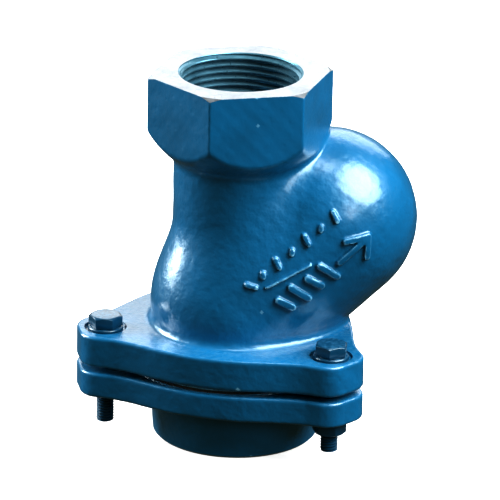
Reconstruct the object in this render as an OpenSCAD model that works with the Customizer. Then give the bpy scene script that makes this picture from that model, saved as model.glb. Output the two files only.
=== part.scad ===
// Ball check valve with two threaded pipe ends. Two castings are bolted together
// at a flange with three lugs, and a rubber-covered ball moves between the seat
// and a pocket beside the flow. Sizes are in millimetres. The origin is the centre
// of the inlet face, +Z runs up the pipe axis to the outlet, and +X points to the pocket.

/* [Pipe ends] */
// Height from the inlet face to the outlet face
total_h = 128; // [126:0.5:132]
// Width of the outlet hexagon across its flats
hex_af = 55; // [53:0.5:57]
// Radius of both pipe holes at the crests of their threads
thread_r = 19.475; // [19.2:0.025:19.8]
// Length of the threaded hole in the outlet
outlet_thread_l = 22; // [20:0.5:22.5]
// Length of the threaded hole in the inlet
inlet_thread_l = 18; // [15:0.5:18]
// Radius of the inlet boss at its open end
boss_end_r = 28.2; // [27:0.1:29]
// Radius of the inlet boss where it joins its flange
boss_root_r = 29.6; // [28:0.1:31]

/* [Body casting] */
// Outer radius of the neck under the hexagon
neck_r = 22.2; // [21.8:0.1:23]
// Radius of the flow passage in the neck
neck_bore_r = 17; // [16.6:0.1:17.2]
// Height of the centre of the ball chamber's outside
chamber_z = 47.5; // [46.5:0.5:48.5]
// Outer radius of the ball chamber
chamber_outer_r = 29.5; // [29.2:0.1:30.2]
// Inner radius of the ball chamber
chamber_inner_r = 25.4; // [25.2:0.1:25.6]
// Distance from the pipe axis to the pocket's centre
pocket_x = 30.7; // [30:0.1:31]
// Height of the pocket's centre
pocket_z = 75.3; // [75:0.1:76.5]
// Outer radius of the pocket
pocket_outer_r = 30.5; // [30.3:0.1:31.2]
// Inner radius of the pocket
pocket_inner_r = 26; // [25.8:0.1:26.2]

/* [Ball and seat] */
// Radius of the ball over its rubber cover
ball_r = 22; // [21.5:0.1:22]
// Thickness of the ball's rubber cover
rubber_t = 4; // [2:0.5:6]
// Height of the flat ring around the seat
seat_z = 28; // [27.6:0.1:28.4]
// Radius where the seat's cone meets that flat ring
seat_top_r = 16.9; // [16.5:0.1:17.2]
// Radius of the throat below the seat
throat_r = 14.9; // [14:0.1:15]

/* [Flange joint] */
// Height of the lower flange's underside
flange_z = 17.7; // [17.5:0.1:18]
// Thickness of the lower flange
lower_flange_t = 9; // [8.5:0.1:9]
// Thickness of the upper flange
upper_flange_t = 11; // [10:0.1:12]
// Gap between the lugs of the two flanges
lug_gap = 2; // [1.6:0.1:2.4]
// Thickness of the gasket
gasket_t = 1; // [0.6:0.1:1.4]
// Radius of the flanges between their lugs
rim_r = 38.3; // [37.5:0.1:39.5]
// Distance from the pipe axis to the end of a lug
lug_reach = 54.5; // [54:0.5:56]
// Width of a lug across its blunt end
lug_w = 22; // [20:0.5:24]
// Radius of a lug's corners
lug_corner_r = 8; // [4:0.5:9]
// Radius of the round root that a lug widens to
lug_root_r = 23; // [20:0.5:24]
// Distance from the pipe axis to the centre of that root
lug_root_x = 18; // [14:0.5:20]
// Radius of the hollow blend beside a lug
lug_blend_r = 10; // [4:1:16]
// Radius of the circle that the bolts stand on
bolt_circle_r = 45.2; // [44.5:0.1:46.5]

/* [Fasteners] */
// Diameter of the bolts
bolt_d = 6; // [5:0.5:6]
// Length of the bolts, from under their heads
bolt_l = 35; // [33:1:36]
// Width of the bolt heads and nuts across their flats
bolt_af = 10; // [9:0.5:11]
// Height of the bolt heads
head_h = 4; // [3.5:0.1:5]
// Height of the nuts
nut_h = 5; // [4:0.1:5.5]
// Radius of the washers
washer_r = 6; // [5.8:0.1:6.5]
// Thickness of the washers
washer_t = 1.6; // [1.2:0.1:1.8]
// Depth of the flat seats cut into the lugs for the washers
spot_depth = 1.1; // [0.5:0.1:1.2]

/* [Hidden] */
$fn = 96;
// Lug 1 points away from the ball pocket, and the other two stand beside the pocket
lug_angles = [180, -57, 57];
lug_count = len(lug_angles);
// The bolt in lug 1 screws into the lower flange, and those after it have nuts
first_nut = 2;
// Angles at which the heads and nuts were left when they were tightened
head_turn = [-15, 12, 34];
nut_turn = [0, -22, 17];

lower_top_z = flange_z + lower_flange_t;
upper_z = lower_top_z + lug_gap;
upper_top_z = upper_z + upper_flange_t;
// The gasket lies between two raised faces in the middle of the lug gap
gasket_z = lower_top_z + (lug_gap - gasket_t) / 2;
gasket_top_z = gasket_z + gasket_t;
joint_face_r = rim_r - 1;
gasket_outer_r = joint_face_r - 0.5;
gasket_inner_r = 25.7;
// A lip on the lower casting centres the upper one
lip_r = 24.6;
lip_inner_r = 22.8;
lip_top_z = seat_z + 2;
mouth_r = 25;

// The hexagon is turned to a ball shape below, from its corners down to the neck
hex_corner_r = hex_af / sqrt(3);
hex_turned_r = 36.6;
hex_turned_z = total_h - 0.65;
hex_low_z = hex_turned_z - sqrt(hex_turned_r * hex_turned_r - neck_r * neck_r);
hex_top_r = hex_corner_r - 1.1;
hex_top_chamfer = 0.6;
thread_runout = 2.5;
bore_past = 1;

// The bore of the chamber slopes up to the pocket
chamber_inner_z = chamber_z - 1.5;
slope_inner_r = chamber_inner_r - 0.2;
slope_outer_low_r = chamber_outer_r - 0.5;
slope_outer_high_r = pocket_outer_r - 0.5;

// The ball rests on a 45 degree cone and stops against the far wall of the pocket
fit_gap = 0.05;
ball_z = seat_z - seat_top_r + (ball_r + fit_gap) * sqrt(2);

shank_r = bolt_d / 2 - 0.05;
clear_hole_r = bolt_d / 2 + 0.3;
thread_hole_r = bolt_d / 2;
spot_r = washer_r + 1.2;
head_washer_z = upper_top_z - spot_depth;
nut_washer_z = flange_z + spot_depth - washer_t;
head_z = head_washer_z + washer_t;
nut_z = nut_washer_z - nut_h;

paint = "#0a5f91";
steel = "#8fa3ad";
rubber = "#1c1f22";
seal = "#3b4146";

// Puts children on the pipe's side at lug i, counted from 1
module at_lug(i) {
    rotate([0, 0, lug_angles[i - 1]])
        translate([bolt_circle_r, 0, 0])
            children();
}

// Aims the Z axis of children along the line from the point low to the point high,
// both in the XZ plane
module along_slope(low, high) {
    translate([low[0], 0, low[1]])
        rotate([0, atan2(high[0] - low[0], high[1] - low[1]), 0])
            children();
}

// A blunt lug along +X that widens towards the pipe axis
module lug_outline() {
    corner_x = lug_reach - lug_corner_r;
    corner_y = lug_w / 2 - lug_corner_r;
    hull() {
        translate([corner_x, corner_y]) circle(r = lug_corner_r, $fn = 48);
        translate([corner_x, -corner_y]) circle(r = lug_corner_r, $fn = 48);
        translate([lug_root_x, 0]) circle(r = lug_root_r);
    }
}

// Round rim with three lugs and a hollow blend beside each lug
module flange_outline() {
    offset(r = -lug_blend_r)
        offset(delta = lug_blend_r)
            union() {
                circle(r = rim_r);
                for (angle = lug_angles)
                    rotate(angle)
                        lug_outline();
            }
}

// Holes through the upper lugs, each with a flat seat for a washer on top
module upper_bolt_holes() {
    for (i = [1 : lug_count])
        at_lug(i) {
            translate([0, 0, upper_z - bore_past])
                cylinder(h = upper_flange_t + 2 * bore_past, r = clear_hole_r);
            translate([0, 0, head_washer_z])
                cylinder(h = spot_depth + bore_past, r = spot_r);
        }
}

// Holes through the lower lugs: a tapped one, and the others with a washer's seat below
module lower_bolt_holes() {
    for (i = [1 : lug_count])
        at_lug(i) {
            hole_r = i < first_nut ? thread_hole_r : clear_hole_r;
            translate([0, 0, flange_z - bore_past])
                cylinder(h = lower_flange_t + 2 * bore_past, r = hole_r);
            if (i >= first_nut)
                translate([0, 0, flange_z - bore_past])
                    cylinder(h = spot_depth + bore_past, r = spot_r);
        }
}

// The hexagon, turned to a ball shape below and lightly chamfered on top
module outlet_hexagon() {
    inset = 0.5;
    intersection() {
        translate([0, 0, hex_low_z - inset])
            cylinder(h = total_h - hex_low_z + inset, r = hex_corner_r, $fn = 6);
        translate([0, 0, hex_turned_z]) sphere(r = hex_turned_r);
        rotate_extrude()
            polygon([
                [0, hex_low_z - inset],
                [hex_corner_r + inset, hex_low_z - inset],
                [hex_corner_r + inset, total_h - hex_top_chamfer],
                [hex_corner_r, total_h - hex_top_chamfer],
                [hex_top_r, total_h],
                [0, total_h]
            ]);
    }
}

// Chamber and pocket from outside, cut off at the flange's underside
module chamber_outside() {
    low = [0, chamber_z];
    high = [pocket_x, pocket_z];
    reach = 2 * pocket_outer_r + pocket_x;
    intersection() {
        union() {
            translate([0, 0, chamber_z]) sphere(r = chamber_outer_r);
            along_slope(low, high)
                cylinder(h = norm(high - low), r1 = slope_outer_low_r, r2 = slope_outer_high_r);
            translate([pocket_x, 0, pocket_z]) sphere(r = pocket_outer_r);
        }
        translate([-reach, -reach, upper_z + 1]) cube([2 * reach, 2 * reach, total_h]);
    }
}

// The hollow that the ball moves in
module chamber_inside() {
    low = [0, chamber_inner_z];
    high = [pocket_x, pocket_z];
    translate([0, 0, gasket_top_z - bore_past])
        cylinder(h = chamber_inner_z - gasket_top_z + bore_past, r = mouth_r);
    translate([0, 0, chamber_inner_z]) sphere(r = chamber_inner_r);
    along_slope(low, high) cylinder(h = norm(high - low), r = slope_inner_r);
    translate([pocket_x, 0, pocket_z]) sphere(r = pocket_inner_r);
}

// Neck passage and the threaded hole of the outlet
module outlet_way() {
    thread_z = total_h - outlet_thread_l;
    rotate_extrude()
        polygon([
            [0, chamber_inner_z],
            [neck_bore_r, chamber_inner_z],
            [neck_bore_r, thread_z - thread_runout],
            [thread_r, thread_z],
            [thread_r, total_h + bore_past],
            [0, total_h + bore_past]
        ]);
}

module valve_body() {
    color(paint)
        difference() {
            union() {
                outlet_hexagon();
                translate([0, 0, chamber_z])
                    cylinder(h = hex_low_z + 1 - chamber_z, r = neck_r);
                chamber_outside();
                translate([0, 0, upper_z])
                    linear_extrude(upper_flange_t) flange_outline();
                translate([0, 0, gasket_top_z])
                    cylinder(h = upper_z - gasket_top_z + 1, r = joint_face_r);
            }
            chamber_inside();
            outlet_way();
            upper_bolt_holes();
        }
}

// Threaded hole of the inlet, the throat, the seat's cone and the flat ring around it
module seat_way() {
    cone_low_z = seat_z - (seat_top_r - throat_r);
    rotate_extrude()
        polygon([
            [0, -bore_past],
            [thread_r, -bore_past],
            [thread_r, inlet_thread_l],
            [throat_r, inlet_thread_l + thread_runout],
            [throat_r, cone_low_z],
            [seat_top_r, seat_z],
            [lip_inner_r, seat_z],
            [lip_inner_r, lip_top_z + bore_past],
            [0, lip_top_z + bore_past]
        ]);
}

module inlet_flange() {
    color(paint)
        difference() {
            union() {
                cylinder(h = flange_z + 1, r1 = boss_end_r, r2 = boss_root_r);
                translate([0, 0, flange_z])
                    linear_extrude(lower_flange_t) flange_outline();
                translate([0, 0, lower_top_z - 1])
                    cylinder(h = gasket_z - lower_top_z + 1, r = joint_face_r);
                translate([0, 0, lower_top_z - 1])
                    cylinder(h = lip_top_z - lower_top_z + 1, r = lip_r);
            }
            seat_way();
            lower_bolt_holes();
        }
}

module flange_gasket() {
    color(seal)
        translate([0, 0, gasket_z])
            difference() {
                cylinder(h = gasket_t, r = gasket_outer_r);
                translate([0, 0, -bore_past])
                    cylinder(h = gasket_t + 2 * bore_past, r = gasket_inner_r);
            }
}

module ball_core() {
    color(steel)
        translate([0, 0, ball_z]) sphere(r = ball_r - rubber_t - fit_gap);
}

module ball_cover() {
    color(rubber)
        translate([0, 0, ball_z])
            difference() {
                sphere(r = ball_r);
                sphere(r = ball_r - rubber_t);
            }
}

// Hexagon bolt, head up
module flange_bolt(i) {
    color(steel)
        at_lug(i) {
            translate([0, 0, head_z])
                rotate([0, 0, head_turn[i - 1]])
                    cylinder(h = head_h, r = bolt_af / sqrt(3), $fn = 6);
            translate([0, 0, head_z - bolt_l])
                cylinder(h = bolt_l + 1, r = shank_r);
        }
}

module flange_nut(i) {
    color(steel)
        at_lug(i)
            translate([0, 0, nut_z])
                difference() {
                    rotate([0, 0, nut_turn[i - 1]])
                        cylinder(h = nut_h, r = bolt_af / sqrt(3), $fn = 6);
                    translate([0, 0, -bore_past])
                        cylinder(h = nut_h + 2 * bore_past, r = thread_hole_r);
                }
}

module washer(i, z) {
    color(steel)
        at_lug(i)
            translate([0, 0, z])
                difference() {
                    cylinder(h = washer_t, r = washer_r);
                    translate([0, 0, -bore_past])
                        cylinder(h = washer_t + 2 * bore_past, r = clear_hole_r);
                }
}

valve_body();
inlet_flange();
flange_gasket();
ball_core();
ball_cover();
for (i = [1 : lug_count]) {
    flange_bolt(i);
    washer(i, head_washer_z);
}
for (i = [first_nut : lug_count]) {
    flange_nut(i);
    washer(i, nut_washer_z);
}
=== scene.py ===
import math

import bmesh
import bpy
import numpy as np
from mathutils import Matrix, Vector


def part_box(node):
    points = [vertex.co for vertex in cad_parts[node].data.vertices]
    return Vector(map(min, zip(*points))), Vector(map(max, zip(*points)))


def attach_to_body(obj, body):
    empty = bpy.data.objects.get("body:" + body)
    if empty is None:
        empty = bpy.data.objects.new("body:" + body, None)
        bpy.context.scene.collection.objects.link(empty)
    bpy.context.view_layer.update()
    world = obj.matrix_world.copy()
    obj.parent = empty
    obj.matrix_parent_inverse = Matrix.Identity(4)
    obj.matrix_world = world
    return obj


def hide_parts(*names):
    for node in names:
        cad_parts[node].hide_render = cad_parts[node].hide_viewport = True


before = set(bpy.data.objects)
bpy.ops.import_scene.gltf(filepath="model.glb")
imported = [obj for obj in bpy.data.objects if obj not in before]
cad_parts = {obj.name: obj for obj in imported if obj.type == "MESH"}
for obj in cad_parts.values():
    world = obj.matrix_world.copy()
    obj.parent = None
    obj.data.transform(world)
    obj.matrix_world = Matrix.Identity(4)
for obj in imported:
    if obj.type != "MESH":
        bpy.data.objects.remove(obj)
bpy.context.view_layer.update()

import openvdb
from mathutils import Matrix, Vector

# A ball check valve. Shapes are worked out in millimetres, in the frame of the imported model:
# +Z runs up the pipe axis from the inlet face, and +X points to the ball pocket.
MM = 0.001


def box_mm(node):
    """Lowest and highest corner of a CAD node, in millimetres."""
    low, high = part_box(node)
    return np.array(low) / MM, np.array(high) / MM


def middle_mm(node):
    low, high = box_mm(node)
    return (low + high) / 2


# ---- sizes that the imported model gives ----
BODY_LOW, BODY_HIGH = box_mm("valve_body")
INLET_LOW, INLET_HIGH = box_mm("inlet_flange")
GASKET_LOW, GASKET_HIGH = box_mm("flange_gasket")
BALL_LOW, BALL_HIGH = box_mm("ball_cover")
TOP_Z = BODY_HIGH[2]
JOINT_Z = BODY_LOW[2]
LUG_REACH = -BODY_LOW[0]
LIP_TOP_Z = INLET_HIGH[2]
BALL_Z = (BALL_LOW[2] + BALL_HIGH[2]) / 2
BALL_R = (BALL_HIGH[2] - BALL_LOW[2]) / 2
BOLT_RING_R = abs(middle_mm("flange_bolt_1")[0])
LUGS = (1, 2, 3)
LUG_ANGLES = [math.atan2(*middle_mm(f"flange_bolt_{k}")[1::-1]) for k in LUGS]
WITH_NUTS = (2, 3)

# ---- sizes of the castings ----
HEX_FLATS = 55.0
HEX_CORNER_R = HEX_FLATS / math.sqrt(3)
HEX_CORNER_ROUND = 0.9
HEX_EDGE = 0.7
HEX_ROOT_FILLET = 1.8
HEX_CHAMFER_IN = 2.0
HEX_CHAMFER_DROP = 1.05
HEX_BALL_Z = TOP_Z - 0.65
HEX_BALL_R = 36.6
NECK_R = 22.2
BORE_R = 17.0
CHAMBER_Z = 47.5
CHAMBER_R = 29.45
POCKET_R = 30.45
POCKET_X = BODY_HIGH[0] - 30.5
POCKET_Z = 75.3
INNER_Z = 46.0
INNER_R = 25.4
POCKET_INNER_R = 26.0
UPPER_Z = JOINT_Z + 0.5
UPPER_TOP_Z = UPPER_Z + 11
LOWER_Z = 17.7
LOWER_TOP_Z = LOWER_Z + 9
RIM_R = 38.25
FACE_R = 37.3
LUG_HALF_W = 11.0
LUG_CORNER_R = 8.0
LUG_ROOT_X = 18.0
LUG_ROOT_R = 22.95
LUG_BLEND_R = 10.0
FLANGE_EDGE = 1.1
NECK_FILLET = 7.5
FLANGE_FILLET = 3.6
BOSS_FILLET = 2.5
BOSS_R = 28.15
BOSS_ROOT_R = 29.5
ALLOWANCE = 1.0
THROAT_R = 14.9
SEAT_TOP_R = 16.9
SEAT_Z = 28.0
LIP_R = 24.6
LIP_INNER_R = 22.8
MOUTH_R = 25.0
GASKET_INNER_R = 25.7
SPOT_R = 7.2
SPOT_DEPTH = 1.1
FAR = 80.0

# ---- 1 1/4 inch pipe thread, 11 turns to the inch ----
PIPE_R = 19.475
PIPE_PITCH = 2.309
PIPE_DEPTH = 1.479
PIPE_LENGTHS = {"outlet": 22.0, "inlet": 18.0}
MOUTH_CHAMFER_R = 20.95
MOUTH_CHAMFER = 2.0
THREAD_RUN_OUT = 2.5

# ---- M6 fasteners ----
BOLT_FLATS = 10.0
BOLT_R = 2.95
BOLT_PITCH = 1.0
BOLT_THREAD_DEPTH = 0.55
HOLE_R = 3.3
TAPPED_R = 3.0
HEAD_TURNS = {1: -15.0, 2: 12.0, 3: 34.0}
NUT_TURNS = {2: -22.0, 3: 17.0}
PAINT_EDGE = 0.12

VOXEL = 0.5
FINE = 144


# ---- distance fields: below 0 inside a shape, above 0 outside it ----
def tube(x, y, radius):
    return np.sqrt(x * x + y * y) - radius


def ball(x, y, z, radius):
    return np.sqrt(x * x + y * y + z * z) - radius


def between(v, low, high):
    return np.maximum(low - v, v - high)


def filleted(a, b, radius):
    """Both shapes, with a hollow fillet of that radius where they meet."""
    u = np.maximum(radius - a, 0)
    v = np.maximum(radius - b, 0)
    return np.maximum(radius, np.minimum(a, b)) - np.sqrt(u * u + v * v)


def rounded(a, b, radius):
    """What the shapes share, with its edge rounded to that radius."""
    u = np.maximum(radius + a, 0)
    v = np.maximum(radius + b, 0)
    return np.minimum(-radius, np.maximum(a, b)) + np.sqrt(u * u + v * v)


def swept(along, aside, span, first_r, last_r):
    """The hull of two balls on a line, one at 0 and one at span."""
    lean = (last_r - first_r) / span
    slip = aside * lean / math.sqrt(1 - lean * lean)
    share = np.clip((along + slip) / span, 0, 1)
    return np.hypot(along - share * span, aside) - (first_r + share * (last_r - first_r))


def sloping(x, y, z, low_z, low_r, high_r):
    """The hull of a ball on the pipe axis and the ball of the pocket."""
    span = math.hypot(POCKET_X, POCKET_Z - low_z)
    run, rise = POCKET_X / span, (POCKET_Z - low_z) / span
    along = x * run + (z - low_z) * rise
    across = x * rise - (z - low_z) * run
    return swept(along, np.sqrt(across * across + y * y), span, low_r, high_r)


def hexagon(x, y, flats, corner_r):
    """A hexagon with rounded corners, one of them on +X."""
    half = flats / 2 - corner_r
    x, y = np.abs(x), np.abs(y)
    fold = 2 * np.minimum(-math.sqrt(0.75) * x + 0.5 * y, 0)
    x = x + fold * math.sqrt(0.75)
    y = y - fold * 0.5
    side = half / math.sqrt(3)
    off = x - np.clip(x, -side, side)
    return np.hypot(off, y - half) * np.sign(y - half) - corner_r


def lug(x, y, angle):
    """A blunt lug that widens towards the pipe axis."""
    out = x * math.cos(angle) + y * math.sin(angle)
    aside = np.abs(-x * math.sin(angle) + y * math.cos(angle))
    corner_x = LUG_REACH - LUG_CORNER_R
    corner_y = LUG_HALF_W - LUG_CORNER_R
    span = math.hypot(corner_x - LUG_ROOT_X, corner_y)
    run, rise = (corner_x - LUG_ROOT_X) / span, corner_y / span
    along = (out - LUG_ROOT_X) * run + aside * rise
    across = np.abs(-(out - LUG_ROOT_X) * rise + aside * run)
    side = swept(along, across, span, LUG_ROOT_R, LUG_CORNER_R)
    nose = np.maximum(between(out, LUG_ROOT_X, LUG_REACH), aside - corner_y)
    return np.minimum(side, nose)


def flange_outline(x, y):
    lugs = lug(x, y, LUG_ANGLES[0])
    for angle in LUG_ANGLES[1:]:
        lugs = np.minimum(lugs, lug(x, y, angle))
    return filleted(tube(x, y, RIM_R), lugs, LUG_BLEND_R)


def waviness(x, y, z):
    """The slight unevenness of a sand casting, in millimetres. It is never above 0."""
    long_wave = np.sin(0.43 * x + 1.3) * np.sin(0.39 * y + 0.4) * np.sin(0.47 * z)
    short_wave = np.sin(1.21 * x) * np.sin(1.07 * y + 2.1) * np.sin(1.13 * z + 0.7)
    return 0.055 * (long_wave - 1) + 0.03 * (short_wave - 1)


# ---- the raised marks on the pocket's side: dots, bars and a flow arrow, and no letters ----
MARK_HEIGHT = 1.3
MARK_EDGE = 0.4
DOT_ROW = ((14.5, 11.6), (45.5, 10.3))
DOTS = 6
DOT_HALF_TALL = (0.3, 1.3)
DOT_LEAN = 0.4
DOT_HALF_W = 0.95
BAR_ROW = ((13.4, -0.6), (31.4, -2.2))
BARS = 4
BAR_HALF_TALL = (2.7, 3.6)
BAR_LEAN = 0.9
BAR_HALF_W = 1.25
ARROW_TIP = (49.0, -2.6)
ARROW_STARTS = ((36.2, -2.4), (42.4, 1.8), (43.8, -8.0))
ARROW_HALF_W = 1.15
RIDGE = ((12.4, 8.0), (28.5, 3.9))
RIDGE_HALF_W = 0.45
START_MARK = ((8.4, 12.6), (10.0, 10.2))
START_MARK_HALF_W = 0.8


def stroke(s, t, start, end, half_w):
    """A straight stroke with round ends in the plane of the marks."""
    ds, dt = end[0] - start[0], end[1] - start[1]
    share = np.clip(((s - start[0]) * ds + (t - start[1]) * dt) / (ds * ds + dt * dt), 0, 1)
    return np.hypot(s - start[0] - share * ds, t - start[1] - share * dt) - half_w


def leaning_stroke(s, t, row, share, half_tall, lean, half_w):
    """A stroke that crosses the row at that share of its length, and leans by so much."""
    at_s, at_t = (a + (b - a) * share for a, b in zip(*row))
    return stroke(s, t, (at_s - lean, at_t - half_tall), (at_s + lean, at_t + half_tall), half_w)


def marks(x, y, z):
    """Distance to the marks' outlines. s runs up the slope of the pocket and t square to it."""
    span = math.hypot(POCKET_X, POCKET_Z - CHAMBER_Z)
    run, rise = POCKET_X / span, (POCKET_Z - CHAMBER_Z) / span
    s = x * run + (z - CHAMBER_Z) * rise
    t = -x * rise + (z - CHAMBER_Z) * run
    flat = stroke(s, t, *RIDGE, RIDGE_HALF_W)
    flat = np.minimum(flat, stroke(s, t, *START_MARK, START_MARK_HALF_W))
    for k in range(DOTS):
        dot = leaning_stroke(s, t, DOT_ROW, k / (DOTS - 1), DOT_HALF_TALL[k % 2], DOT_LEAN, DOT_HALF_W)
        flat = np.minimum(flat, dot)
    for k in range(BARS):
        bar = leaning_stroke(s, t, BAR_ROW, k / (BARS - 1), BAR_HALF_TALL[k % 2], -BAR_LEAN, BAR_HALF_W)
        flat = np.minimum(flat, bar)
    for start in ARROW_STARTS:
        flat = np.minimum(flat, stroke(s, t, start, ARROW_TIP, ARROW_HALF_W))
    return np.maximum(flat, y)


def body_outside(x, y, z):
    neck = np.maximum(tube(x, y, NECK_R), CHAMBER_Z - z)
    lobes = sloping(x, y, z, CHAMBER_Z, CHAMBER_R, POCKET_R)
    raised_marks = rounded(marks(x, y, z), lobes - MARK_HEIGHT, MARK_EDGE)
    lobes = filleted(lobes, raised_marks, MARK_EDGE)
    lobes = np.maximum(lobes, UPPER_Z + 1 - z)
    shape = filleted(neck, lobes, NECK_FILLET)
    turned = ball(x, y, z - HEX_BALL_Z, HEX_BALL_R)
    outlet = rounded(hexagon(x, y, HEX_FLATS, HEX_CORNER_ROUND), turned, HEX_EDGE)
    outlet = np.maximum(outlet, z - TOP_Z - ALLOWANCE)
    shape = filleted(shape, outlet, HEX_ROOT_FILLET)
    plate = rounded(flange_outline(x, y), between(z, UPPER_Z, UPPER_TOP_Z), FLANGE_EDGE)
    shape = filleted(shape, plate, FLANGE_FILLET)
    raised = np.maximum(tube(x, y, FACE_R), between(z, JOINT_Z - ALLOWANCE, UPPER_Z + 2))
    return np.minimum(shape, raised)


def body_inside(x, y, z):
    chamber = sloping(x, y, z, INNER_Z, INNER_R, POCKET_INNER_R)
    bore = np.maximum(tube(x, y, BORE_R), INNER_Z - z)
    mouth = np.maximum(tube(x, y, MOUTH_R - 0.4), z - INNER_Z)
    return np.minimum(filleted(chamber, bore, 3.0), mouth)


def body_field(x, y, z):
    return np.maximum(body_outside(x, y, z) - waviness(x, y, z), -body_inside(x, y, z))


def inlet_field(x, y, z):
    radius = BOSS_R + (BOSS_ROOT_R - BOSS_R) * z / LOWER_Z
    boss = np.maximum(tube(x, y, 0) - radius, between(z, -ALLOWANCE, LOWER_TOP_Z))
    plate = rounded(flange_outline(x, y), between(z, LOWER_Z, LOWER_TOP_Z), FLANGE_EDGE)
    shape = filleted(boss, plate, BOSS_FILLET) - waviness(x, y, z)
    raised = np.maximum(tube(x, y, FACE_R), between(z, LOWER_TOP_Z - 2, GASKET_LOW[2] + ALLOWANCE))
    lump = np.maximum(tube(x, y, LIP_R + ALLOWANCE), between(z, LOWER_TOP_Z - 2, LIP_TOP_Z + ALLOWANCE))
    return np.minimum(np.minimum(shape, raised), lump)


# ---- meshes ----
def settle(points, field, rounds=3, reach=0.04):
    """Moves points on to the surface where the field is 0."""
    p = points.astype(np.float64)
    for _ in range(rounds):
        value = field(p[:, 0], p[:, 1], p[:, 2])
        slope = np.empty_like(p)
        for axis in range(3):
            step = np.zeros(3)
            step[axis] = reach
            ahead, behind = p + step, p - step
            slope[:, axis] = (field(*ahead.T) - field(*behind.T)) / (2 * reach)
        steep = np.maximum((slope * slope).sum(1), 0.25)
        p -= slope * np.clip(value / steep, -VOXEL / 2, VOXEL / 2)[:, None]
    return p


def object_from(name, points_mm, faces):
    mesh = bpy.data.meshes.new(name)
    mesh.from_pydata((np.asarray(points_mm) * MM).tolist(), [], faces)
    mesh.validate()
    obj = bpy.data.objects.new(name, mesh)
    bpy.context.scene.collection.objects.link(obj)
    return obj


def face_outwards(obj):
    """Turns every face outwards, so that the mesh holds a volume above 0."""
    work = bmesh.new()
    work.from_mesh(obj.data)
    bmesh.ops.recalc_face_normals(work, faces=work.faces)
    if work.calc_volume(signed=True) < 0:
        bmesh.ops.reverse_faces(work, faces=work.faces)
    work.to_mesh(obj.data)
    work.free()
    return obj


def cast(name, field, low, high):
    """The surface of a distance field as a mesh, found on a grid and settled on the field."""
    low = np.array(low, float) - 2.5 * VOXEL
    high = np.array(high, float) + 2.5 * VOXEL
    x, y, z = [np.arange(a, b, VOXEL) for a, b in zip(low, high)]
    value = field(x[:, None, None], y[None, :, None], z[None, None, :])
    grid = openvdb.FloatGrid(background=3 * VOXEL)
    grid.copyFromArray(np.clip(value, -3 * VOXEL, 3 * VOXEL).astype(np.float32))
    points, _, quads = grid.convertToPolygons(isovalue=0.0, adaptivity=0.0)
    points = settle(low + points.astype(float) * VOXEL, field)
    return face_outwards(object_from(name, points, quads.tolist()))


def lathe(name, profile, steps=96, place=(0, 0, 0)):
    """Turns a profile of (radius, height) points about a vertical axis. It starts and ends on it."""
    points, rings = [], []
    for radius, height in profile:
        if radius < 1e-9:
            rings.append([len(points)])
            points.append((0, 0, height))
            continue
        rings.append(list(range(len(points), len(points) + steps)))
        for k in range(steps):
            angle = 2 * math.pi * k / steps
            points.append((radius * math.cos(angle), radius * math.sin(angle), height))
    faces = []
    for one, two in zip(rings, rings[1:]):
        for k in range(steps):
            n = (k + 1) % steps
            if len(one) == 1:
                faces.append((one[0], two[n], two[k]))
            elif len(two) == 1:
                faces.append((one[k], one[n], two[0]))
            else:
                faces.append((one[k], one[n], two[n], two[k]))
    return face_outwards(object_from(name, np.array(points) + np.array(place), faces))


def closed_ring(name, profile, steps=96, place=(0, 0, 0)):
    """Turns a closed profile that stays clear of the axis, as for a washer."""
    count = len(profile)
    points, faces = [], []
    for k in range(steps):
        angle = 2 * math.pi * k / steps
        n = (k + 1) % steps
        for j, (radius, height) in enumerate(profile):
            points.append((radius * math.cos(angle), radius * math.sin(angle), height))
            m = (j + 1) % count
            faces.append((k * count + j, n * count + j, n * count + m, k * count + m))
    return face_outwards(object_from(name, np.array(points) + np.array(place), faces))


# One turn of a thread: place along the pitch, and share of the full depth
THREAD_TURN = [(0.0, 1), (0.083, 1), (0.17, 0.74), (0.33, 0.26), (0.4167, 0), (0.5, 0),
               (0.5833, 0), (0.67, 0.26), (0.83, 0.74), (0.917, 1)]


def screw(name, low, high, pitch, radius_at, steps):
    """A closed right-hand screw surface between two heights.
    radius_at(height, share) gives its radius, where share is 1 in the groove and 0 on the crest."""
    rows_a_turn = len(THREAD_TURN)
    rows = int((high - low) / pitch) * rows_a_turn
    points = []
    for j in range(rows + 1):
        turn, part = divmod(j, rows_a_turn)
        place, share = THREAD_TURN[part]
        for i in range(steps):
            angle = 2 * math.pi * i / steps
            height = low + pitch * (turn + place + i / steps)
            radius = radius_at(height, share)
            points.append((radius * math.cos(angle), radius * math.sin(angle), height))
    faces = []
    last = steps - 1
    for j in range(rows):
        for i in range(last):
            a = j * steps + i
            faces.append((a, a + 1, a + 1 + steps, a + steps))
        if j + rows_a_turn + 1 <= rows:
            a = j * steps + last
            b = (j + rows_a_turn) * steps
            faces.append((a, b, b + steps, a + steps))
    bottom = list(range(steps)) + [j * steps for j in range(rows_a_turn, 0, -1)]
    top = [rows * steps + i for i in range(steps)]
    top += [(rows - k) * steps + last for k in range(1, rows_a_turn + 1)]
    for loop in (bottom, top):
        heights = [points[i][2] for i in loop]
        points.append((0, 0, sum(heights) / len(heights)))
        centre = len(points) - 1
        for one, two in zip(loop, loop[1:] + loop[:1]):
            faces.append((one, two, centre))
    return face_outwards(object_from(name, points, faces))


def combine(obj, other, operation):
    """Cuts other out of obj, joins it to obj, or keeps what they share. Other is used up."""
    step = obj.modifiers.new("step", "BOOLEAN")
    step.object = other
    step.operation = operation
    step.solver = "MANIFOLD"
    step.material_mode = "TRANSFER"
    graph = bpy.context.evaluated_depsgraph_get()
    result = bpy.data.meshes.new_from_object(obj.evaluated_get(graph))
    obj.modifiers.clear()
    old = obj.data
    obj.data = result
    result.name = obj.name
    bpy.data.meshes.remove(old)
    bpy.data.objects.remove(other)
    return obj


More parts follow.
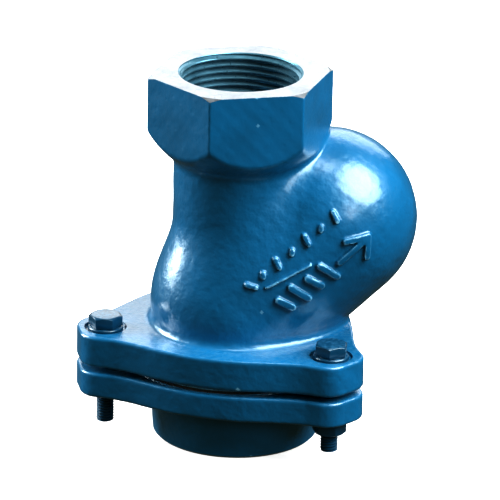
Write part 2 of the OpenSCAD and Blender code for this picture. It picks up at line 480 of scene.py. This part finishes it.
def shade(obj, edge_angle=48.0, machined_angle=14.0, machined=()):
    """Smooth shading, with sharp edges where faces turn by more than the angle.
    Faces of machined materials use the smaller angle, and edges between materials are sharp."""
    mesh = obj.data
    count = len(mesh.polygons)
    normals = np.empty(count * 3)
    mesh.polygons.foreach_get("normal", normals)
    normals = normals.reshape(-1, 3)
    material = np.empty(count, int)
    mesh.polygons.foreach_get("material_index", material)
    sizes = np.empty(count, int)
    mesh.polygons.foreach_get("loop_total", sizes)
    edges = np.empty(len(mesh.loops), int)
    mesh.loops.foreach_get("edge_index", edges)
    faces = np.repeat(np.arange(count), sizes)
    order = np.argsort(edges, kind="stable")
    edges, faces = edges[order], faces[order]
    pair = np.flatnonzero(edges[1:] == edges[:-1])
    edge, one, two = edges[pair], faces[pair], faces[pair + 1]
    turn = (normals[one] * normals[two]).sum(1)
    fine = np.isin(material[one], machined) | np.isin(material[two], machined)
    fine_limit, coarse_limit = (math.cos(math.radians(a)) for a in (machined_angle, edge_angle))
    limit = np.where(fine, fine_limit, coarse_limit)
    sharp = np.zeros(len(mesh.edges), bool)
    sharp[edge] = (turn < limit) | (material[one] != material[two])
    mesh.shade_smooth()
    layer = mesh.attributes.get("sharp_edge") or mesh.attributes.new("sharp_edge", "BOOLEAN", "EDGE")
    layer.data.foreach_set("value", sharp)
    return obj


# ---- materials ----
# Shades of the paint, each with its place in a slow noise
BLUE_SHADES = ((0.32, (0.001, 0.094, 0.203)), (0.55, (0.0015, 0.114, 0.247)),
               (0.75, (0.002, 0.133, 0.289)))
DARK_SPECK = (0.003, 0.05, 0.10)
# Pale blue for convex edges: painted highlight along the edges, partly rubbed paint
EDGE_HIGHLIGHT_AND_WEAR_BLUE = (0.26, 0.58, 0.78)
# Near-black for hollows and creases: painted shade
CREASE_SHADE = (0.002, 0.022, 0.035)
# Pale blue for faces that look up: partly dust, partly painted sheen of the light from behind
DUST_AND_SHEEN_BLUE = (0.05, 0.19, 0.32)
HEXAGON_FOOT = 0.80
LATHE_RING = 0.6


class Nodes:
    """A short way to build one material's node tree."""

    def __init__(self, name):
        self.material = bpy.data.materials.new(name)
        self.material.use_nodes = True
        self.tree = self.material.node_tree
        self.shader = self.tree.nodes["Principled BSDF"]

    def add(self, kind, **settings):
        node = self.tree.nodes.new(kind)
        for key, value in settings.items():
            setattr(node, key, value)
        return node

    def link(self, source, target):
        self.tree.links.new(source, target)

    def object_place(self):
        return self.add("ShaderNodeTexCoord").outputs["Object"]

    def noise(self, where, per_mm, detail=3.0, rough=0.55):
        node = self.add("ShaderNodeTexNoise")
        self.link(where, node.inputs["Vector"])
        node.inputs["Scale"].default_value = per_mm / MM
        node.inputs["Detail"].default_value = detail
        node.inputs["Roughness"].default_value = rough
        return node.outputs["Fac"]

    def cells(self, where, per_mm):
        node = self.add("ShaderNodeTexVoronoi", feature="SMOOTH_F1")
        self.link(where, node.inputs["Vector"])
        node.inputs["Scale"].default_value = per_mm / MM
        return node.outputs["Distance"]

    def ramp(self, value, stops):
        """stops are (place, grey or colour)."""
        node = self.add("ShaderNodeValToRGB")
        points = node.color_ramp.elements
        while len(points) < len(stops):
            points.new(0.5)
        for point, (place, colour) in zip(points, stops):
            point.position = place
            point.color = (colour,) * 3 + (1,) if isinstance(colour, (int, float)) else (*colour, 1)
        self.link(value, node.inputs["Fac"])
        return node.outputs["Color"]

    def mix(self, share, a, b, blend="MIX"):
        node = self.add("ShaderNodeMix", data_type="RGBA", blend_type=blend)
        for socket, value in ((node.inputs[0], share), (node.inputs[6], a), (node.inputs[7], b)):
            if isinstance(value, bpy.types.NodeSocket):
                self.link(value, socket)
            elif isinstance(value, (int, float)):
                socket.default_value = value
            else:
                socket.default_value = (*value, 1)
        return node.outputs[2]

    def math(self, kind, a, b=0.0):
        node = self.add("ShaderNodeMath", operation=kind)
        for socket, value in zip(node.inputs, (a, b)):
            if isinstance(value, bpy.types.NodeSocket):
                self.link(value, socket)
            else:
                socket.default_value = value
        return node.outputs[0]

    def bump(self, height, depth_mm, strength=1.0, under=None):
        node = self.add("ShaderNodeBump")
        node.inputs["Distance"].default_value = depth_mm * MM
        if isinstance(strength, bpy.types.NodeSocket):
            self.link(strength, node.inputs["Strength"])
        else:
            node.inputs["Strength"].default_value = strength
        self.link(height, node.inputs["Height"])
        if under is not None:
            self.link(under, node.inputs["Normal"])
        return node.outputs["Normal"]

    def set(self, **values):
        for key, value in values.items():
            socket = self.shader.inputs[key.replace("_", " ")]
            if isinstance(value, bpy.types.NodeSocket):
                self.link(value, socket)
            elif isinstance(value, tuple):
                socket.default_value = (*value, 1)
            else:
                socket.default_value = value
        return self.material


def blue_paint(name, pebble=1.0, tone=1.0, edge_highlight_and_wear_share=1.0):
    """Thick glossy enamel over a sand casting. The hexagon's sides are smoother than the domes,
    faces that look up are rougher and paler with dust and painted sheen, convex edges get a pale painted
    highlight that also stands for rubbed paint, and hollows get dark painted shade.
    pebble scales the bumps, tone the brightness, which below 1 is painted shade, and the last number the pale
    edges, painted highlight and wear."""
    n = Nodes(name)
    where = n.object_place()
    geometry = n.add("ShaderNodeNewGeometry")
    height, up = n.add("ShaderNodeSeparateXYZ"), n.add("ShaderNodeSeparateXYZ")
    n.link(where, height.inputs[0])
    n.link(geometry.outputs["True Normal"], up.inputs[0])
    up_the_valve = n.math("MULTIPLY", height.outputs[2], 1 / (TOP_Z * MM))
    below_hexagon = n.ramp(up_the_valve, [(HEXAGON_FOOT - 0.02, 1.0), (HEXAGON_FOOT + 0.02, 0.35)])
    looks_up = n.ramp(up.outputs[2], [(0.90, 0.0), (0.97, 1.0)])
    cloudy = n.noise(where, 0.045, detail=4.0)
    fine = n.noise(where, 0.9, detail=3.0, rough=0.6)
    # tone dims the paint's colours; below 1 it is painted shade
    hue = n.ramp(cloudy, [(place, tuple(tone * part for part in shade)) for place, shade in BLUE_SHADES])
    specks = n.ramp(n.noise(where, 0.35, detail=5.0, rough=0.7), [(0.60, 0.0), (0.74, 1.0)])
    speck = (DARK_SPECK[0], *(tone * part for part in DARK_SPECK[1:]))
    hue = n.mix(n.math("MULTIPLY", specks, 0.25), hue, speck)
    # Convex edges turn pale: painted highlight along the edges, partly rubbed paint
    edge_highlight_and_wear = n.ramp(geometry.outputs["Pointiness"], [(0.53, 0.0), (0.60, 1.0)])
    # Hollows and creases turn dark: painted shade
    crease_shade = n.ramp(geometry.outputs["Pointiness"], [(0.40, 1.0), (0.475, 0.0)])
    broken = n.ramp(n.noise(where, 0.25, detail=3.0), [(0.35, 0.3 * edge_highlight_and_wear_share), (0.6, 0.9 * edge_highlight_and_wear_share)])
    hue = n.mix(n.math("MULTIPLY", edge_highlight_and_wear, broken), hue, EDGE_HIGHLIGHT_AND_WEAR_BLUE)
    hue = n.mix(n.math("MULTIPLY", crease_shade, 0.75), hue, CREASE_SHADE)
    grains = n.noise(where, 0.75, detail=3.0, rough=0.65)
    # Faces that look up get pale speckles: partly dust, partly painted sheen
    dust_and_sheen = n.ramp(grains, [(0.45, 0.0), (0.62, 0.4)])
    hue = n.mix(n.math("MULTIPLY", looks_up, dust_and_sheen), hue, DUST_AND_SHEEN_BLUE)
    rough = n.ramp(fine, [(0.3, 0.30), (0.7, 0.42)])
    pebbles = n.noise(where, 0.31, detail=2.0, rough=0.5)
    pits = n.ramp(n.cells(where, 0.30), [(0.0, 0.0), (0.22, 1.0)])
    normal = n.bump(pebbles, 0.28 * pebble, below_hexagon)
    normal = n.bump(pits, 0.04, under=normal)
    normal = n.bump(fine, 0.02 * pebble, under=normal)
    normal = n.bump(grains, 0.25 * pebble, looks_up, under=normal)
    return n.set(Base_Color=hue, Roughness=rough, Normal=normal, IOR=1.55, Coat_Weight=0.8,
                 Specular_Tint=(0.55, 0.9, 1.0), Coat_Roughness=0.21)


def machined_iron(name, dark, light, metallic=0.85):
    """Turned iron with the fine rings that a lathe tool leaves."""
    n = Nodes(name)
    where = n.object_place()
    split = n.add("ShaderNodeSeparateXYZ")
    n.link(where, split.inputs[0])
    square = n.math("ADD", n.math("MULTIPLY", split.outputs[0], split.outputs[0]),
                    n.math("MULTIPLY", split.outputs[1], split.outputs[1]))
    radius = n.math("SQRT", square)
    wobble = n.math("MULTIPLY", n.noise(where, 0.3), 0.0004)
    rings = n.math("SINE", n.math("MULTIPLY", n.math("ADD", radius, wobble), 2 * math.pi / (LATHE_RING * MM)))
    blotch = n.noise(where, 0.12, detail=4.0)
    hue = n.ramp(blotch, [(0.3, dark), (0.7, light)])
    rough = n.ramp(n.noise(where, 0.6), [(0.3, 0.26), (0.7, 0.42)])
    normal = n.bump(rings, 0.008)
    normal = n.bump(n.noise(where, 0.7), 0.012, under=normal)
    return n.set(Base_Color=hue, Metallic=metallic, Roughness=rough, Normal=normal)


def gasket_sheet(name):
    n = Nodes(name)
    where = n.object_place()
    fibre = n.noise(where, 1.3, detail=4.0, rough=0.7)
    hue = n.ramp(fibre, [(0.3, (0.012, 0.013, 0.014)), (0.7, (0.035, 0.037, 0.04))])
    return n.set(Base_Color=hue, Roughness=0.85, Normal=n.bump(fibre, 0.08))


def ball_rubber(name):
    n = Nodes(name)
    where = n.object_place()
    fine = n.noise(where, 1.6, detail=4.0)
    scuffs = n.ramp(n.noise(where, 0.16, detail=5.0, rough=0.7), [(0.52, 0.0), (0.7, 1.0)])
    hue = n.mix(n.math("MULTIPLY", scuffs, 0.5), (0.010, 0.010, 0.011), (0.045, 0.045, 0.048))
    rough = n.ramp(fine, [(0.3, 0.42), (0.7, 0.6)])
    return n.set(Base_Color=hue, Roughness=rough, Normal=n.bump(fine, 0.03))


def ball_metal(name):
    n = Nodes(name)
    where = n.object_place()
    grain = n.noise(where, 0.5, detail=4.0)
    hue = n.ramp(grain, [(0.3, (0.14, 0.145, 0.15)), (0.7, (0.22, 0.225, 0.23))])
    return n.set(Base_Color=hue, Metallic=0.9, Roughness=0.5, Normal=n.bump(grain, 0.15))


# ---- pieces ----
def attach(obj, body, node):
    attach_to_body(obj, body)
    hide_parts(node)


def painted(obj, *materials):
    """Gives every face the first of the materials, and leaves the others for later cuts."""
    obj.data.materials.clear()
    obj.data.polygons.foreach_set("material_index", [0] * len(obj.data.polygons))
    for material in materials:
        obj.data.materials.append(material)
    return obj


def pipe_thread(name, face_z, length, end_r, upwards):
    """The cutter of one pipe thread. It is built going down from a face at 0, then put in place."""
    def radius_at(height, share):
        depth = height
        fade = min(max((length - depth) / (1.2 * PIPE_PITCH), 0), 1)
        radius = PIPE_R + PIPE_DEPTH * share * fade
        if depth > length:
            radius -= (PIPE_R - end_r) * (depth - length) / THREAD_RUN_OUT
        return max(radius, end_r - 1.0)

    obj = screw(name, -1.5 * PIPE_PITCH, length + 2 * PIPE_PITCH, PIPE_PITCH, radius_at, FINE)
    if not upwards:
        obj.data.transform(Matrix.Rotation(math.pi, 4, "X"))
    obj.data.transform(Matrix.Translation((0, 0, face_z * MM)))
    return obj


def at_bolt(k):
    angle = LUG_ANGLES[k - 1]
    return BOLT_RING_R * math.cos(angle), BOLT_RING_R * math.sin(angle)


def joined(name, parts):
    """One object of several that don't touch."""
    points, faces = [], []
    for part in parts:
        start = len(points)
        points.extend(v.co[:] for v in part.data.vertices)
        faces.extend(tuple(start + i for i in f.vertices) for f in part.data.polygons)
        bpy.data.objects.remove(part)
    return object_from(name, np.array(points) / MM, faces)


def make_valve_body(paint, iron, thread_iron):
    body = cast("valve_body_casting", body_field, BODY_LOW, BODY_HIGH)
    painted(body, paint, iron, thread_iron)
    clear_r = HEX_CORNER_R + 11
    facing = lathe("facing", [
        (0, TOP_Z), (HEX_CORNER_R - HEX_CHAMFER_IN, TOP_Z), (HEX_CORNER_R, TOP_Z - HEX_CHAMFER_DROP),
        (clear_r, TOP_Z - 6.8), (clear_r, TOP_Z + 10), (0, TOP_Z + 10)], steps=FINE)
    combine(body, painted(facing, iron), "DIFFERENCE")
    mouth_z = TOP_Z - MOUTH_CHAMFER
    mouth = lathe("mouth", [
        (0, mouth_z), (MOUTH_CHAMFER_R - MOUTH_CHAMFER, mouth_z), (MOUTH_CHAMFER_R + 1, TOP_Z + 1),
        (0, TOP_Z + 1)], steps=FINE)
    combine(body, painted(mouth, thread_iron), "DIFFERENCE")
    thread = pipe_thread("outlet_thread", TOP_Z, PIPE_LENGTHS["outlet"], BORE_R, upwards=False)
    combine(body, painted(thread, thread_iron), "DIFFERENCE")
    joint = lathe("joint", [
        (0, JOINT_Z - 20), (FAR, JOINT_Z - 20), (FAR, JOINT_Z), (MOUTH_R + 0.6, JOINT_Z),
        (MOUTH_R, JOINT_Z + 0.6), (MOUTH_R, JOINT_Z + 3), (0, JOINT_Z + 3)], steps=FINE)
    combine(body, painted(joint, iron), "DIFFERENCE")
    spot_z = UPPER_TOP_Z - SPOT_DEPTH
    holes = [lathe("hole", [
        (0, UPPER_Z - 5), (HOLE_R, UPPER_Z - 5), (HOLE_R, spot_z), (SPOT_R, spot_z),
        (SPOT_R, spot_z + 6), (0, spot_z + 6)], steps=64, place=(*at_bolt(k), 0)) for k in LUGS]
    combine(body, painted(joined("holes", holes), paint), "DIFFERENCE")
    shade(body, machined=(1, 2))
    attach(body, "housing", "valve_body")
    return body


def make_inlet_flange(paint, iron, thread_iron):
    inlet = cast("inlet_flange_casting", inlet_field, INLET_LOW, INLET_HIGH)
    painted(inlet, paint, iron, thread_iron)
    facing = lathe("facing", [
        (0, -20), (BOSS_R + 9, -20), (BOSS_R + 9, 10), (BOSS_R, 0.8), (BOSS_R - 0.8, 0),
        (MOUTH_CHAMFER_R, 0), (MOUTH_CHAMFER_R - MOUTH_CHAMFER, MOUTH_CHAMFER), (0, MOUTH_CHAMFER)],
        steps=FINE)
    combine(inlet, painted(facing, iron), "DIFFERENCE")
    thread = pipe_thread("inlet_thread", 0, PIPE_LENGTHS["inlet"], THROAT_R, upwards=True)
    combine(inlet, painted(thread, thread_iron), "DIFFERENCE")
    cone_low = SEAT_Z - (SEAT_TOP_R - THROAT_R)
    top = lathe("top", [
        (0, PIPE_LENGTHS["inlet"] - 1), (THROAT_R, PIPE_LENGTHS["inlet"] - 1), (THROAT_R, cone_low),
        (SEAT_TOP_R, SEAT_Z), (LIP_INNER_R, SEAT_Z), (LIP_INNER_R, LIP_TOP_Z - 0.4),
        (LIP_INNER_R + 0.4, LIP_TOP_Z), (LIP_R - 0.4, LIP_TOP_Z), (LIP_R, LIP_TOP_Z - 0.4),
        (LIP_R, GASKET_LOW[2]), (FAR, GASKET_LOW[2]), (FAR, LIP_TOP_Z + 10), (0, LIP_TOP_Z + 10)],
        steps=FINE)
    combine(inlet, painted(top, iron), "DIFFERENCE")
    holes = []
    for k in LUGS:
        hole_r = HOLE_R if k in WITH_NUTS else TAPPED_R
        foot = [(0, LOWER_Z - 5), (hole_r, LOWER_Z - 5)]
        if k in WITH_NUTS:
            spot_z = LOWER_Z + SPOT_DEPTH
            foot = [(0, LOWER_Z - 5), (SPOT_R, LOWER_Z - 5), (SPOT_R, spot_z), (hole_r, spot_z)]
        profile = foot + [(hole_r, LOWER_TOP_Z + 5), (0, LOWER_TOP_Z + 5)]
        holes.append(lathe("hole", profile, steps=64, place=(*at_bolt(k), 0)))
    combine(inlet, painted(joined("holes", holes), paint), "DIFFERENCE")
    shade(inlet, machined=(1, 2))
    attach(inlet, "housing", "inlet_flange")
    return inlet


def prism(name, flats, low, high, turn, place):
    """A hexagon prism, turned by so many degrees."""
    points, faces = [], []
    radius = flats / math.sqrt(3)
    for height in (low, high):
        for k in range(6):
            angle = math.radians(turn) + k * math.pi / 3
            across = radius * math.cos(angle), radius * math.sin(angle)
            points.append((place[0] + across[0], place[1] + across[1], height))
    for k in range(6):
        n = (k + 1) % 6
        faces.append((k, n, n + 6, k + 6))
    faces.append(tuple(range(5, -1, -1)))
    faces.append(tuple(range(6, 12)))
    return face_outwards(object_from(name, points, faces))


def soften(obj, width_mm, segments=2):
    """Small rounded edges, as thick paint leaves them."""
    step = obj.modifiers.new("soft_edges", "BEVEL")
    step.width = width_mm * MM
    step.segments = segments
    step.limit_method = "ANGLE"
    step.angle_limit = math.radians(28)
    step.harden_normals = False
    graph = bpy.context.evaluated_depsgraph_get()
    result = bpy.data.meshes.new_from_object(obj.evaluated_get(graph))
    obj.modifiers.clear()
    obj.data = result
    return obj


def bolt_thread(name, low, high, place):
    """A threaded shank with a chamfered end."""
    def radius_at(height, share):
        radius = BOLT_R - BOLT_THREAD_DEPTH * (1 - share)
        point = BOLT_R - 0.8 + max(height - low, 0)
        return min(radius, point)

    obj = screw(name, low, high - BOLT_PITCH, BOLT_PITCH, radius_at, 32)
    obj.data.transform(Matrix.Translation((place[0] * MM, place[1] * MM, 0)))
    return obj


def make_bolt(k, material):
    low, high = box_mm(f"flange_bolt_{k}")
    place = at_bolt(k)
    head_z = box_mm(f"head_washer_{k}")[1][2]
    corner_r = BOLT_FLATS / math.sqrt(3)
    head = prism(f"bolt_{k}", BOLT_FLATS, head_z, high[2], HEAD_TURNS[k], place)
    crown = lathe("crown", [
        (0, head_z - 1), (BOLT_FLATS / 2 - 0.1, head_z - 1), (BOLT_FLATS / 2 - 0.1, head_z),
        (BOLT_FLATS / 2 - 0.1, head_z + 0.25), (corner_r + 0.2, head_z + 0.26),
        (corner_r + 0.2, high[2] - 0.75), (BOLT_FLATS / 2 - 0.35, high[2]), (0, high[2])],
        steps=64, place=(*place, 0))
    combine(head, crown, "INTERSECT")
    soften(head, PAINT_EDGE)
    shank = bolt_thread("shank", low[2], head_z + 1.5, place)
    combine(head, shank, "UNION")
    shade(painted(head, material), edge_angle=40)
    attach(head, "housing", f"flange_bolt_{k}")


def make_nut(k, material):
    low, high = box_mm(f"flange_nut_{k}")
    place = at_bolt(k)
    corner_r = BOLT_FLATS / math.sqrt(3)
    nut = prism(f"nut_{k}", BOLT_FLATS, low[2], high[2], NUT_TURNS[k], place)
    flat_r = BOLT_FLATS / 2 - 0.3
    crown = lathe("crown", [
        (0, low[2]), (flat_r, low[2]), (corner_r + 0.2, low[2] + 0.85),
        (corner_r + 0.2, high[2] - 0.85), (flat_r, high[2]), (0, high[2])], steps=64, place=(*place, 0))
    combine(nut, crown, "INTERSECT")
    bore = lathe("bore", [
        (0, low[2] - 1), (TAPPED_R + 1.5, low[2] - 1), (TAPPED_R, low[2] + 0.5),
        (TAPPED_R, high[2] - 0.5), (TAPPED_R + 1.5, high[2] + 1), (0, high[2] + 1)],
        steps=48, place=(*place, 0))
    combine(nut, bore, "DIFFERENCE")
    soften(nut, PAINT_EDGE)
    shade(painted(nut, material), edge_angle=40)
    attach(nut, "housing", f"flange_nut_{k}")


def make_washer(node, k, material):
    low, high = box_mm(node)
    outer = (high[0] - low[0]) / 2
    profile = [(HOLE_R, low[2] + 0.1), (HOLE_R + 0.1, low[2]), (outer - 0.12, low[2]),
               (outer, low[2] + 0.12), (outer, high[2] - 0.45), (outer - 0.12, high[2] - 0.18),
               (outer - 0.45, high[2]), (HOLE_R + 0.3, high[2]), (HOLE_R, high[2] - 0.3)]
    washer = closed_ring(node + "_ring", profile, steps=64, place=(*at_bolt(k), 0))
    shade(painted(washer, material), edge_angle=50)
    attach(washer, "housing", node)


def make_gasket(material):
    outer = (GASKET_HIGH[0] - GASKET_LOW[0]) / 2
    low, high = GASKET_LOW[2], GASKET_HIGH[2]
    bulge = 0.12
    profile = [(GASKET_INNER_R, low), (outer - bulge, low), (outer - bulge / 3, low + 0.2),
               (outer, (low + high) / 2), (outer - bulge / 3, high - 0.2), (outer - bulge, high),
               (GASKET_INNER_R, high)]
    ring = closed_ring("gasket_ring", profile, steps=FINE)
    shade(painted(ring, material), edge_angle=50)
    attach(ring, "housing", "flange_gasket")


def arc(radius, count, bulge=0.0, half_band=0.0):
    """A half circle from the bottom to the top of a ball, with a raised band at its middle."""
    points = []
    for k in range(count + 1):
        angle = -math.pi / 2 + math.pi * k / count
        height = radius * math.sin(angle)
        lift = bulge * max(0.0, 1 - abs(height) / half_band) if half_band else 0.0
        points.append(((radius + lift) * math.cos(angle) if 0 < k < count else 0.0, height))
    return points


def make_ball(cover_material, core_material):
    core_r = (box_mm("ball_core")[1][2] - box_mm("ball_core")[0][2]) / 2
    seam = 0.12
    outer = arc(BALL_R - seam, 96, bulge=seam, half_band=0.7)
    cover = lathe("ball_cover_moulding", outer, steps=128, place=(0, 0, BALL_Z))
    hollow = lathe("hollow", arc(core_r + 0.05, 64), steps=96, place=(0, 0, BALL_Z))
    combine(cover, hollow, "DIFFERENCE")
    shade(painted(cover, cover_material))
    attach(cover, "ball", "ball_cover")
    core = lathe("ball_core_casting", arc(core_r, 64), steps=96, place=(0, 0, BALL_Z))
    shade(painted(core, core_material))
    attach(core, "ball", "ball_core")


# ---- studio ----
CAMERA_TURN = -11.62
CAMERA_LIFT = 20.54
CAMERA_ROLL = 1.02
CAMERA_AWAY = 1500.0
CAMERA_LENS = 319.6
AIM = (0.0, 0.0, 66.0)
AIM_RIGHT = 4.07
AIM_UP = -1.26


def make_camera():
    turn, lift, roll = (math.radians(a) for a in (CAMERA_TURN, CAMERA_LIFT, CAMERA_ROLL))
    back = Vector((math.sin(turn) * math.cos(lift), -math.cos(turn) * math.cos(lift), math.sin(lift)))
    side = Vector((math.cos(turn), math.sin(turn), 0))
    up = back.cross(side)
    right = side * math.cos(roll) + up * math.sin(roll)
    up = up * math.cos(roll) - side * math.sin(roll)
    data = bpy.data.cameras.new("camera")
    data.lens = CAMERA_LENS
    data.sensor_width = 36.0
    data.clip_start = 0.05
    data.clip_end = 20.0
    camera = bpy.data.objects.new("camera", data)
    place = (Vector(AIM) + back * CAMERA_AWAY + right * AIM_RIGHT + up * AIM_UP) * MM
    turned = Matrix((right, up, back)).transposed().to_4x4()
    camera.matrix_world = Matrix.Translation(place) @ turned
    bpy.context.scene.collection.objects.link(camera)
    bpy.context.scene.camera = camera


def make_light(name, turn, lift, away, size, power, shape="RECTANGLE"):
    """A softbox, placed by the compass angle and the height angle that it shines from."""
    turn, lift = math.radians(turn), math.radians(lift)
    aim = Vector((0.005, 0, 0.065))
    way = Vector((math.sin(turn) * math.cos(lift), -math.cos(turn) * math.cos(lift), math.sin(lift)))
    data = bpy.data.lights.new(name, "AREA")
    data.shape = shape
    data.size, data.size_y = size
    data.energy = power
    light = bpy.data.objects.new(name, data)
    light.location = aim + way * away
    light.rotation_euler = way.to_track_quat("Z", "Y").to_euler()
    light.visible_camera = False
    bpy.context.scene.collection.objects.link(light)


def make_floor():
    """A plain pale floor that gives the object no light back and is clear from below."""
    half = 6000
    points = [(-half, -half, 0), (half, -half, 0), (half, half, 0), (-half, half, 0)]
    floor = object_from("floor", points, [(0, 1, 2, 3)])
    n = Nodes("pale_floor")
    n.set(Base_Color=(0.6, 0.6, 0.6), Roughness=0.9, Emission_Color=(1, 1, 1), Emission_Strength=0.84)
    clear = n.add("ShaderNodeBsdfTransparent")
    pick = n.add("ShaderNodeMixShader")
    n.link(n.add("ShaderNodeNewGeometry").outputs["Backfacing"], pick.inputs[0])
    n.link(n.shader.outputs[0], pick.inputs[1])
    n.link(clear.outputs[0], pick.inputs[2])
    n.link(pick.outputs[0], n.tree.nodes["Material Output"].inputs["Surface"])
    painted(floor, n.material)
    floor.visible_diffuse = False
    floor.visible_glossy = False


def make_world():
    """White behind the object, and a dim room around it."""
    world = bpy.data.worlds.new("studio")
    world.use_nodes = True
    tree = world.node_tree
    room = tree.nodes["Background"]
    room.inputs["Color"].default_value = (0.85, 1.0, 0.62, 1)
    room.inputs["Strength"].default_value = 0.09
    white = tree.nodes.new("ShaderNodeBackground")
    white.inputs["Color"].default_value = (1, 1, 1, 1)
    pick = tree.nodes.new("ShaderNodeMixShader")
    path = tree.nodes.new("ShaderNodeLightPath")
    tree.links.new(path.outputs["Is Camera Ray"], pick.inputs[0])
    tree.links.new(room.outputs[0], pick.inputs[1])
    tree.links.new(white.outputs[0], pick.inputs[2])
    tree.links.new(pick.outputs[0], tree.nodes["World Output"].inputs["Surface"])
    bpy.context.scene.world = world


def make_studio():
    make_floor()
    make_world()
    make_light("right_high", 57, 49, 1.15, (1.05, 1.05), 46, "ELLIPSE")
    make_light("front_right", 22, 25, 1.6, (0.5, 0.5), 5, "ELLIPSE")
    make_light("left_back", -120, 22, 1.15, (0.5, 0.85), 36)
    make_light("back", 168, 27, 1.3, (1.5, 0.7), 10)
    make_light("overhead", 0, 86, 1.2, (0.35, 0.35), 3.2, "ELLIPSE")
    view = bpy.context.scene.view_settings
    view.view_transform = "Standard"
    view.gamma = 0.76


paint = blue_paint("gloss_blue_paint")
# The fasteners carry the body's blue dimmed to 0.4 as painted shade, with fewer bumps and no pale edges
shaded_fastener_paint = blue_paint("shaded_painted_steel", pebble=0.3, tone=0.4, edge_highlight_and_wear_share=0.0)
iron = machined_iron("turned_iron", (0.24, 0.27, 0.30), (0.33, 0.36, 0.39))
thread_iron = machined_iron("oiled_thread", (0.05, 0.15, 0.21), (0.10, 0.24, 0.31), 0.6)
make_valve_body(paint, iron, thread_iron)
make_inlet_flange(paint, iron, thread_iron)
make_gasket(gasket_sheet("fibre_sheet"))
make_ball(ball_rubber("black_rubber"), ball_metal("cast_core"))
for number in LUGS:
    make_bolt(number, shaded_fastener_paint)
    make_washer(f"head_washer_{number}", number, shaded_fastener_paint)
for number in WITH_NUTS:
    make_nut(number, shaded_fastener_paint)
    make_washer(f"nut_washer_{number}", number, shaded_fastener_paint)
make_camera()
make_studio()
